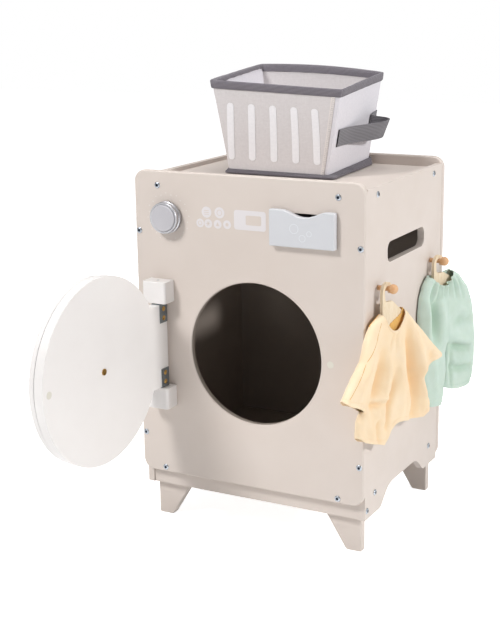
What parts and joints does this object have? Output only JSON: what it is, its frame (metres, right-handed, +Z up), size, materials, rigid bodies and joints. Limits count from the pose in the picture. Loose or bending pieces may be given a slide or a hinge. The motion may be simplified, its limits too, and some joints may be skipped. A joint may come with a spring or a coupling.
{
  "type": "toy washing machine",
  "caption": "Toy front-loading washing machine on tapered legs with an open round door, dial, soap drawer, cloth basket on top and doll's clothes on hangers at its side.",
  "frame": {"origin": "on the floor under the middle of the cabinet's footprint", "axes": "+Z up, -Y out of the front panel, +X to the right of someone facing the front"},
  "size_m": [0.3553, 0.5738, 0.5828],
  "materials": {
    "cabinet_paint": "satin paint on board",
    "white_paint": "satin paint on board",
    "steel": "zinc plated",
    "black_rubber": "matt",
    "clear_pane": "clear gloss",
    "brass": "satin",
    "dial_paint": "fine metallic paint",
    "drawer_paint": "satin paint on board",
    "beech": "clear varnish",
    "plywood": "bare ply",
    "shirt_cotton": "plain weave",
    "trouser_cotton": "plain weave",
    "basket_felt": "pressed non-woven",
    "basket_trim": "ribbed webbing"
  },
  "bodies": {
    "cabinet": {"front_panel": "cabinet_paint", "back_panel": "cabinet_paint", "side_panel_left": "cabinet_paint", "side_panel_right": "cabinet_paint", "top_panel": "cabinet_paint", "bottom_panel": "cabinet_paint", "front_rail": "cabinet_paint", "leg_front_left": "cabinet_paint", "leg_front_right": "cabinet_paint", "leg_rear_left": "cabinet_paint", "leg_rear_right": "cabinet_paint", "front_screws": "steel", "back_screws": "steel", "side_screws_left": "steel", "side_screws_right": "steel", "hinge_block_upper": "white_paint", "hinge_block_lower": "white_paint", "hinge_pins": "steel", "panel_magnet": "steel", "dial_axle": "steel", "dial_washer": "black_rubber", "drawer_guide": "cabinet_paint", "peg_front": "beech", "peg_rear": "beech"},
    "door": {"door_board": "white_paint", "door_pane": "clear_pane", "door_ring": "white_paint", "door_bolt": "brass", "door_magnet": "steel", "hinge_bracket_upper": "steel", "hinge_bracket_lower": "steel", "hinge_screws": "brass"},
    "dial": {"dial_knob": "dial_paint", "dial_cap": "dial_paint"},
    "drawer": {"drawer_front": "drawer_paint", "drawer_tray": "drawer_paint"},
    "shirt_hanger": {"hanger_front": "plywood", "shirt": "shirt_cotton"},
    "trouser_hanger": {"hanger_rear": "plywood", "trousers": "trouser_cotton"},
    "basket": {"basket_body": "basket_felt", "basket_rim": "basket_trim", "basket_base": "basket_trim", "basket_handle_left": "basket_trim", "basket_handle_right": "basket_trim"}
  },
  "joints": [
    {"name": "door_hinge", "type": "hinge", "parent": "cabinet", "child": "door", "pos_m": [-0.1218, -0.1464, 0.2495], "axis": [0, 0, 1], "range_deg": [-28, 92]},
    {"name": "dial_turn", "type": "hinge", "parent": "cabinet", "child": "dial", "pos_m": [-0.1105, -0.136, 0.415], "axis": [0, -1, 0], "continuous": true},
    {"name": "drawer_slide", "type": "slide", "parent": "cabinet", "child": "drawer", "axis": [0, -1, 0], "range_m": [0, 0.07]},
    {"name": "shirt_lift", "type": "slide", "parent": "cabinet", "child": "shirt_hanger", "axis": [0.838, 0, 0.5457], "range_m": [0, 0.12]},
    {"name": "trouser_lift", "type": "slide", "parent": "cabinet", "child": "trouser_hanger", "axis": [0.838, 0, 0.5457], "range_m": [0, 0.01]},
    {"name": "basket_lift", "type": "slide", "parent": "cabinet", "child": "basket", "axis": [0, 0, 1], "range_m": [0, 0.2]}
  ]
}
